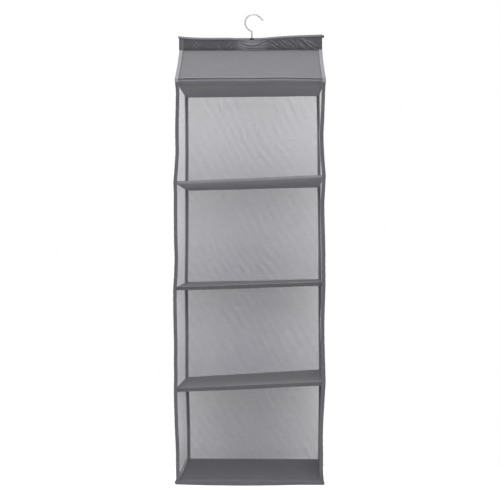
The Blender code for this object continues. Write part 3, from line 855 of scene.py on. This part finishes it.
def roof_relief(s, r, y_sign):
    """Sag and soft ripples of the roof cloth, up from the straight slope."""
    sag = -0.0022 * np.sin(math.pi * r) * (1 - 0.55 * np.abs(s) ** 3)
    flat = np.stack(np.broadcast_arrays(s * 0.15, r * 0.165, y_sign * 0.3 + 0.0 * s), -1)
    near_eave = smooth(0.45, 0.05, r)
    ripples = near_eave * 0.0005 * np.sin(2 * math.pi * (r * 0.165 / 0.021) + 3.5 * soft_noise(flat, 0.07, 4.0))
    ripples *= 0.5 + 0.5 * soft_noise(flat, 0.05, 8.0)
    slack = 0.0007 * soft_noise(flat, 0.045, 2.0) * np.sin(math.pi * np.clip(r, 0, 1))
    x, y, z = flat[..., 0], flat[..., 1], flat[..., 2]
    slanting = np.stack([0.8 * x + 0.6 * y, 0.25 * (0.8 * y - 0.6 * x), z], -1)
    drag = 0.0007 * soft_noise(slanting, 0.013, 6.5) * np.sqrt(np.sin(math.pi * np.clip(r, 0, 1)))
    return (sag + ripples + slack + drag) * (1 - np.abs(s) ** 8)


def make_roof(end):
    """One slope of the roof, from the ceiling's edge up to the sleeve."""
    y_sign = SIGN[end]
    r, s = grid(np.linspace(0, 1, 60), np.linspace(-1, 1, 110))
    p = roof_point(s, r, y_sign, inset=0.0014)
    p[..., 2] += roof_relief(s, r, y_sign)
    slope = math.hypot(HALF_DEPTH, SEAM - LEVELS[0][0])
    obj = sheet_mesh(f"roof_cloth_{end}", p, CLOTH, y_sign, ROOF_LOOK, "hanger", f"roof_{end}",
                     "grey_cloth", flat=(2 * HALF[0], slope), held="hung", rests_on=["sleeve"])
    squash_roof(obj)


def squash_roof(obj):
    """Gives the piece its own mesh."""
    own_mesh(obj)


def make_roof_tape(end, hand):
    """Bound edge of the roof: over the top of the slope and down its side."""
    x_sign, y_sign = SIGN[hand], SIGN[end]
    width, drop, radius = 0.0072, 0.0044, 0.001  # the leg on the slope, the leg at the side, and the fold
    slope = 0.166
    tongue = 0.0105  # the tape's end runs on past the eave and down over the corner
    run = np.concatenate([np.linspace(-tongue, 0, 16)[:-1], np.linspace(0, 0.988 * slope, 70)])
    r = np.maximum(run, 0) / slope
    rows = len(run)
    edge = roof_point(np.full(rows, float(x_sign)), r, y_sign, lift=0.0017)
    past = np.maximum(-run, 0)
    turn = smooth(0.0004, 0.0046, past)
    edge[:, 1] += y_sign * 0.0023 * np.minimum(past / 0.0030, 1)
    edge[:, 2] -= np.maximum(past - 0.0032, 0) + 0.5 * np.minimum(past, 0.0032)
    inner, down = fold_profile(width, drop, radius).T
    p = np.repeat(edge[:, None, :], len(inner), axis=1)
    p[..., 0] += inner * x_sign
    narrow = (1 - smooth(0.001, 0.014, run))[:, None]
    side_leg = down * (1 - narrow) + np.maximum(down, -radius) * narrow
    p[..., 1] += side_leg * (y_sign * turn)[:, None]
    p[..., 2] += side_leg * (1 - turn)[:, None]
    wrinkle = pucker(edge, 0.00022, 0.012, 41.0 + x_sign + 2 * y_sign, r * 0.165)
    p[..., 2] += wrinkle[:, None]
    obj = sheet_mesh(f"roof_binding_{end}_{hand}", p, TAPE, y_sign * x_sign, PALE_TAPE_LOOK, "hanger",
                     f"roof_tape_{end}_{hand}", "tape_cloth", flat=(width + drop - 0.0004, slope + tongue),
                     held="folded", rests_on=[f"roof_cloth_{end}"])
    squash_roof(obj)


def make_gable(hand):
    """The triangle of cloth that closes the roof at one side."""
    x_sign = SIGN[hand]
    reach = HALF_DEPTH - WALL_INSET
    h, y = grid(np.linspace(0, 1, 24), np.linspace(-reach, reach, 81))
    share = 1 - np.abs(y) / reach
    foot = level(0, x_sign * HALF[0]) + GAP
    eave = level(0, x_sign * HALF[0]) + EAVE_OVER
    top = eave + (SEAM - GAP - eave) * share - np.where(y < 0, eave_drop(x_sign, -1.0), 0.0) * (1 - share)
    z = foot + (top - 0.0006 - foot) * h
    r = np.clip((z - eave) / (SEAM - GAP - eave), 0, 1)
    v = (y / HALF_DEPTH + 1) / 2
    x = roof_edge(x_sign, r, -1.0) * (1 - v) + roof_edge(x_sign, r, 1.0) * v
    p = np.stack([x - x_sign * (0.0021 - 0.0011 * (1 - h) ** 2), y, z], -1)
    p[..., 0] -= x_sign * 0.0018 * np.sin(math.pi * h) ** 2 * share * (1 + 0.5 * soft_noise(p, 0.05, 12.0))
    height = SEAM - foot
    obj = sheet_mesh(f"gable_cloth_{hand}", p, CLOTH, x_sign, GABLE_LOOK, "hanger", f"gable_{hand}",
                     "grey_cloth", flat=(2 * reach, height), held="hung", rests_on=["sleeve"],
                     area=2 * reach * height * 0.52)
    squash_roof(obj)


def ridge(x, sharp=0.8):
    """Rounded ridges with tight valleys, one per unit, from 0 to 1."""
    return np.abs(np.sin(math.pi * x)) ** sharp


# The sleeve's upper edge: x, and millimetres over a level line just above the bar's middle.
TOP_LINE = (
    (-0.1525, 5.2), (-0.140, 3.6), (-0.124, 2.4), (-0.105, 1.6), (-0.076, 1.3), (-0.052, 1.6), (-0.034, 0.7),
    (0.018, 0.6), (0.030, 1.5), (0.060, 3.9), (0.097, 5.8), (0.125, 6.6), (0.147, 7.2),
)
BAR_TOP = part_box("hook_saddle")[1].z - 0.0012


def sleeve_top(x):
    """Height of the sleeve's upper edge at x."""
    xs, rises = zip(*TOP_LINE, strict=True)
    return BAR_TOP + 0.0014 + rounded(xs, rises, x, 33) * MM


def sleeve_section():
    """The sleeve's section, from the foot up and round the bar: pairs of a height and a depth.

    A height from 0 to 1 is the share of the flat part's height, down from the bar to the foot. A
    negative one is in metres under the top line, for points round the bar.
    """
    foot = ((1.0, 0.0021), (0.94, 0.0021), (0.88, 0.0026), (0.80, 0.0038), (0.68, 0.0043), (0.54, 0.0044),
            (0.42, 0.0043), (0.30, 0.0042), (0.20, 0.0040), (0.12, 0.0039), (0.05, 0.0038), (0.0, 0.0038))
    round_bar = ((-0.0060, 0.0039), (-0.0054, 0.0044), (-0.0047, 0.0052), (-0.0040, 0.0057), (-0.0033, 0.0057),
                 (-0.0025, 0.0053), (-0.0017, 0.0045), (-0.0010, 0.0034), (-0.0005, 0.0022), (-0.0001, 0.0011))
    fine = [(h + (h2 - h) * i / 4, d + (d2 - d) * i / 4)
            for (h, d), (h2, d2) in zip(foot, foot[1:]) for i in range(4)]
    return [*fine, foot[-1], *round_bar]


# Folds pressed into the sleeve's front: (x, z) in millimetres along each, then its half width and depth.
SLEEVE_CREASES = (
    (((-27, -54.5), (-20, -56.5), (-9, -58.5), (4, -59.3), (14, -58), (22, -55.5)), 0.9, 1.2),
    (((-25, -59.0), (-14, -63.5), (-5, -65.6), (4, -65.8), (14, -63.2), (24, -59.0), (34.5, -54.2)), 1.1, 2.2),
    (((-24, -65.0), (-17, -69.2), (-6, -71), (9, -71.4), (24, -70.6)), 1.0, 1.4),
    (((10, -69.0), (20, -66.0), (31, -62.5)), 1.0, 0.9),
    (((34.5, -54), (42, -58.4), (50, -65), (58, -70.6)), 1.2, 2.1),
    (((40, -66), (45, -69)), 1.2, 0.9),
    (((61.5, -55.3), (67.5, -61), (74.5, -68)), 1.4, 1.5),
    (((74.5, -53.4), (80, -56.5), (85, -60), (90.5, -66.5)), 2.1, 1.3),
    (((101, -53.8), (108, -59), (116, -67.5)), 2.8, 1.5),
    (((116, -57.4), (123, -62), (130, -67), (139, -71)), 1.4, 2.3),
    (((120, -53), (127, -55.5)), 1.1, 0.9),
    (((-123, -56), (-116, -64), (-108, -72.5)), 1.2, 0.9),
    (((-109, -56), (-117, -65), (-124, -73)), 1.2, 1.0),
    (((-72, -57), (-66, -63), (-63, -70)), 1.8, 0.6),
    (((-40, -58), (-44, -64), (-50, -70)), 1.8, 0.7),
)


def creases(x, z):
    """Relief of the sleeve's folds: a valley along each, with a rounded lip on both sides."""
    total = np.zeros_like(x)
    for line, width, depth in SLEEVE_CREASES:
        nearest = np.full(x.shape, 1.0)
        for (ax, az), (bx, bz) in zip(line, line[1:]):
            ax, az, bx, bz = (value * MM for value in (ax, az, bx, bz))
            run = ((x - ax) * (bx - ax) + (z - az) * (bz - az)) / ((bx - ax) ** 2 + (bz - az) ** 2)
            run = np.clip(run, 0, 1)
            nearest = np.minimum(nearest, np.hypot(x - ax - (bx - ax) * run, z - az - (bz - az) * run))
        d = nearest / (width * MM)
        first, last = line[0][0] * MM, line[-1][0] * MM
        reach = 0.25 * abs(last - first)
        tapered = 0.35 + 0.65 * smooth(min(first, last), min(first, last) + reach, x) * (
            smooth(max(first, last), max(first, last) - reach, x))
        varied = 0.75 + 0.45 * soft_noise(np.stack([x, 0 * x, z], -1), 0.009, width + line[0][0])
        total += varied * tapered * depth * MM * (0.9 * np.exp(-((d - 1.9) / 1.05) ** 2) - np.exp(-1.2 * d ** 1.3))
    return total


def make_sleeve():
    """The dark cloth round the hanger bar: creased in front, open at the top for the hook."""
    left, right = -0.1525, 0.1473
    cols = 400
    x = np.linspace(left, right, cols)
    top = sleeve_top(x)
    half = sleeve_section()
    fold = 0.0066  # how far under the top line the cloth leaves the bar
    foot_z = SEAM + GAP * 0.5
    rows = []
    section = [(-1, h, d) for h, d in half] + [(0, 0.0, 0.0)] + [(1, h, d) for h, d in reversed(half)]
    for sign, h, depth in section:
        z = top + h if h < 0 or not sign else (top - fold) + (foot_z - top + fold) * h
        rows.append(np.stack([x, np.full(cols, sign * depth), z], -1))
    p = np.array(rows)
    side = np.array([sign for sign, _, _ in section], float)[:, None]
    z, xx = p[..., 2], p[..., 0]
    below = smooth(0.0, 0.003, (top[None, :] - fold) - z)
    at_foot = smooth(foot_z, foot_z + 0.004, z)
    flat = np.stack([xx, np.zeros_like(xx), z], -1)
    warp = 0.55 * soft_noise(flat, 0.028, 6.0)
    slant_window = smooth(0.030, 0.055, xx) * (1 - 0.5 * smooth(0.135, 0.147, xx))
    slants = 0.0009 * ridge((xx * 0.80 + z * 0.60) / 0.0175 + warp, 0.75) * slant_window
    slants *= 0.55 + 0.45 * soft_noise(flat, 0.03, 15.0)
    lumps = 0.0007 * soft_noise(flat * [1, 1, 1.6], 0.016, 2.5) + 0.0003 * soft_noise(flat, 0.006, 3.5)
    front = side < 0
    groove = 0.0016 * np.exp(-((xx / 0.024) ** 4) - ((top - z - 0.0088) / 0.0011) ** 2)
    relief = (slants + lumps + np.where(front, creases(xx, z), 0.0) - groove) * below * at_foot
    p[..., 1] += np.where(front, -1.0, 0.45) * relief * (side != 0)
    # Over the hook's head and its washer the cloth bulges softly.
    bulge = 0.0011 * smooth(0.020, 0.002, np.hypot(xx, z - HEAD_TOP)) * below
    round_head = np.sqrt(np.clip(0.0052 ** 2 - xx ** 2, 0, 1)) * smooth(0.008, 0.0045, np.abs(z - HEAD_TOP))
    least = np.maximum(round_head, 0.0016 * (side != 0) * (z < top - 0.002))
    p[..., 1] = side * np.maximum(np.abs(p[..., 1]) + bulge, least)
    # The turned-in ends stand a little proud.
    end_left = 1 - smooth(0.0080, 0.0088, xx - left)
    end_right = 1 - smooth(0.0038, 0.0044, right - xx)
    p[..., 1] += side * 0.0006 * (end_left + end_right)
    p[..., 0] -= 0.0020 * smooth(fold, 0.003, top[None, :] - z) * smooth(0.03, 0.0, xx - left)
    notch_half, notch_low = 0.0050, BAR_TOP - 0.0026
    middle = (p[:-1, :-1] + p[1:, 1:]) / 2
    keep = (np.abs(middle[..., 0]) >= notch_half) | (middle[..., 2] <= notch_low)
    girth = float(np.linalg.norm(np.diff(p, axis=0), axis=-1).sum(0).mean())
    obj = sheet_mesh("sleeve", p, CLOTH, -1, SLEEVE_LOOK, "hanger", "hanger_sleeve", "dark_cloth", keep,
                     flat=(right - left, girth), held="folded", rests_on=["hanger_bar"])

    def highlight_and_pale_hem(co):
        """Painted highlight: along the top where the cloth turns over the bar, under the saddle, on a fold there
        and on the creases' lips, less in their valleys; the left hem is paler.
        """
        x, z = co[:, 0], co[:, 2]
        down = sleeve_top(x) - z
        # painted highlight along the top, where the cloth turns over the bar
        strip = smooth(0.0010, 0.0024, down) * (1 - smooth(0.0044, 0.0052, down))
        hem = smooth(0.0034, 0.0040, x - left) * (1 - smooth(0.0092, 0.0100, x - left))
        hem *= smooth(0.006, 0.008, down)
        # painted highlight under the saddle, and on a fold there that catches the light
        collar = np.exp(-((x / 0.030) ** 4)) * smooth(0.0044, 0.006, down)
        collar += 0.75 * np.exp(-((x / 0.020) ** 4) - ((down - 0.0062) / 0.0011) ** 2)
        # painted highlight on the creases' lips, less paleness in their valleys
        raised = np.clip(creases(x, z) / 0.0012, -0.6, 1) * smooth(foot_z, foot_z + 0.003, z) * (co[:, 1] < 0)
        raised *= smooth(0.006, 0.007, down)
        return np.clip(0.85 * strip + 0.35 * hem + 0.72 * collar + 0.66 * raised, 0, 1)

    point_attribute(obj, "highlight_and_pale_hem", highlight_and_pale_hem)


# ------------ build

def wire_lengths(line):
    """Running length along a line of points."""
    return np.concatenate([[0.0], np.cumsum(np.linalg.norm(np.diff(line, axis=0), axis=-1))])


def hook_line():
    """The wire's middle line, from the foot of its shank round the loop to its tip, with a rounded bend."""
    cx, cz = LOOP_CENTRE
    reach = math.hypot(cx, BEND - cz)
    leave = math.atan2(BEND - cz, -cx) % math.tau - math.acos(LOOP_RADIUS / reach)
    angles = np.linspace(leave, LOOP_END, 90)
    loop = np.stack([cx + LOOP_RADIUS * np.cos(angles), cz + LOOP_RADIUS * np.sin(angles)], -1)
    end = loop[-1] + TIP * np.array([math.sin(LOOP_END), -math.cos(LOOP_END)])
    line = np.concatenate([[[0, HEAD_LOW + 0.0004], [0, BEND]], loop, [end]])
    run = wire_lengths(line)
    even = np.arange(0.0, run[-1], 0.0006)
    points = np.stack([np.interp(even, run, line[:, 0]), np.interp(even, run, line[:, 1])], -1)
    kernel = np.hanning(9)[1:-1]
    kernel /= kernel.sum()
    for axis in (0, 1):
        points[3:-3, axis] = np.convolve(points[:, axis], kernel, mode="valid")
    return points


def closed_tube(bm, rings):
    """Skins a run of rings of points and closes both ends."""
    loops = [[bm.verts.new(place) for place in ring] for ring in rings]
    for one, other in zip(loops, loops[1:]):
        for i in range(len(one)):
            j = (i + 1) % len(one)
            bm.faces.new((one[i], one[j], other[j], other[i]))
    bm.faces.new(loops[-1])
    bm.faces.new(loops[0][::-1])


def make_hook(material):
    """Round wire swept along the hook's line, upset at the foot and with its tip's edge broken."""
    line = hook_line()
    step = np.gradient(line, axis=0)
    step /= np.linalg.norm(step, axis=-1, keepdims=True)
    run = wire_lengths(line)
    radius = WIRE * np.sqrt(np.clip((run[-1] - run + 0.0009) / 0.0013, 0.0, 1.0))
    ring = np.linspace(0, math.tau, 24, endpoint=False)
    bm = bmesh.new()
    closed_tube(bm, [[(x + r * math.cos(a) * dz, r * math.sin(a), z - r * math.cos(a) * dx) for a in ring]
                     for (x, z), (dx, dz), r in zip(line, step, radius, strict=True)])
    low, high, wide = HEAD_LOW - 0.0003, HEAD_TOP, 0.0028
    head = [(0.6 * wide, low), (wide, low + 0.0004), (wide, high - 0.0002), (0.7 * wide, high),
            (0.45 * wide, high)]
    closed_tube(bm, [[(r * math.cos(a), r * math.sin(a), z) for a in ring] for r, z in head])
    bmesh.ops.recalc_face_normals(bm, faces=bm.faces)
    mesh = bpy.data.meshes.new("hook_wire")
    bm.to_mesh(mesh)
    bm.free()
    mesh.shade_smooth()
    mesh.set_sharp_from_angle(angle=math.radians(40))
    add_piece(mesh, material, "hook", "hook")


def paint_nodes():
    """Makes the hook, and gives their looks to the hard parts that stay as the CAD shapes them."""
    chrome = chrome_look()
    make_hook(chrome)
    plastic = plastic_look()
    looks = {"hook_saddle": plastic, "bar_cap_left": plastic, "bar_cap_right": plastic,
             "hanger_bar": paint_look(), "hook_washer": chrome}
    for name, look in looks.items():
        for material_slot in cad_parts[name].material_slots:
            material_slot.material = look


def build():
    """Makes every piece, from the hook down."""
    paint_nodes()
    for end in ("front", "back"):
        make_roof(end)
        for hand in ("left", "right"):
            make_roof_tape(end, hand)
    for hand in ("left", "right"):
        make_gable(hand)
    make_sleeve()
    for k in range(len(BOARD_NAMES)):
        make_stiffener(k)
        make_cover(k, BOTTOM_LOOK if k == 4 else SHELF_LOOK)
    for k in COMPARTMENTS:
        make_back_net(k)
        for hand in ("left", "right"):
            make_side_net(k, hand)
            for end in ("front", "back"):
                make_corner_tape(k, end, hand)
    make_hem()


build()

# ------------ floor, light and camera

FRONT_LIGHT, BACK_LIGHT, SKY_LIGHT = 0.22, 0.85, 0.85  # the studio's light from three sides


def make_floor():
    """A pale floor, brighter to the back; its far edge lies behind the bottom board."""
    mesh = bpy.data.meshes.new("floor")
    half, back, height = 14.0, 2.3, CAD_BOX[0].z - 0.34
    corners = [(-half, -half, height), (half, -half, height), (half, back, height), (-half, back, height)]
    mesh.from_pydata(corners, [], [(0, 1, 2, 3)])
    look = Look("pale_floor")
    mottled = look.remap(look.noise(look.places(), 2.0, 2.0), 0.3, 0.7)
    depth = look.split(look.places())[1]
    look.set(Base_Color=look.mix(mottled, (0.90, 0.90, 0.90, 1), (0.93, 0.93, 0.93, 1)), Roughness=0.9)
    look.set(Emission_Color=(1, 1, 1, 1), Emission_Strength=look.remap(depth, -0.6, 1.4, 0.0, 0.30))
    mesh.materials.append(look.block)
    add_object(mesh)


def make_world():
    """White to the camera, and a soft dome of light that is weaker from the front."""
    look = Look("studio", bpy.data.worlds, "Background")
    _, y, z = look.split(look.node("TexCoord"))
    depth = look.remap(y, -0.6, 0.6, FRONT_LIGHT, BACK_LIGHT)
    dome = look.remap(z, 0.0, 1.0, depth, SKY_LIGHT, smooth_step=True)
    seen = look.node("LightPath")  # its first output is 1 for what the camera sees
    look.set(Color=(1.0, 1.0, 1.0, 1.0), Strength=look.node("Mix", {0: seen, 2: dome, 3: 1.0}))
    bpy.context.scene.world = look.block


def area_light(name, place, target, size, power):
    """A round lamp that faces the target."""
    data = bpy.data.lights.new(name, "AREA")
    data.shape = "DISK"
    data.size = size
    data.energy = power
    lamp = add_object(data)
    lamp.location = place
    lamp.rotation_euler = (Vector(target) - Vector(place)).to_track_quat("-Z", "Y").to_euler()


CAMERA_PLACE, CAMERA_TURN, LENS = (0.0909, -2.9485, -0.4925), 1.84, 101.3  # turn in degrees, lens in mm


def make_camera():
    """A level camera from the front, turned a little to the left."""
    data = bpy.data.cameras.new("camera")
    data.lens = LENS
    data.sensor_width = 36.0
    camera = add_object(data)
    camera.location = CAMERA_PLACE
    camera.rotation_euler = (math.radians(90), 0, math.radians(CAMERA_TURN))
    bpy.context.scene.camera = camera


make_floor()
make_world()
area_light("key", (-0.3, -0.3, 2.2), (0, 0, -0.2), 1.0, 50)
area_light("front", (0.05, -3.4, 0.1), (0, 0, -0.5), 1.6, 88)
make_camera()
bpy.context.scene.view_settings.view_transform = "Standard"
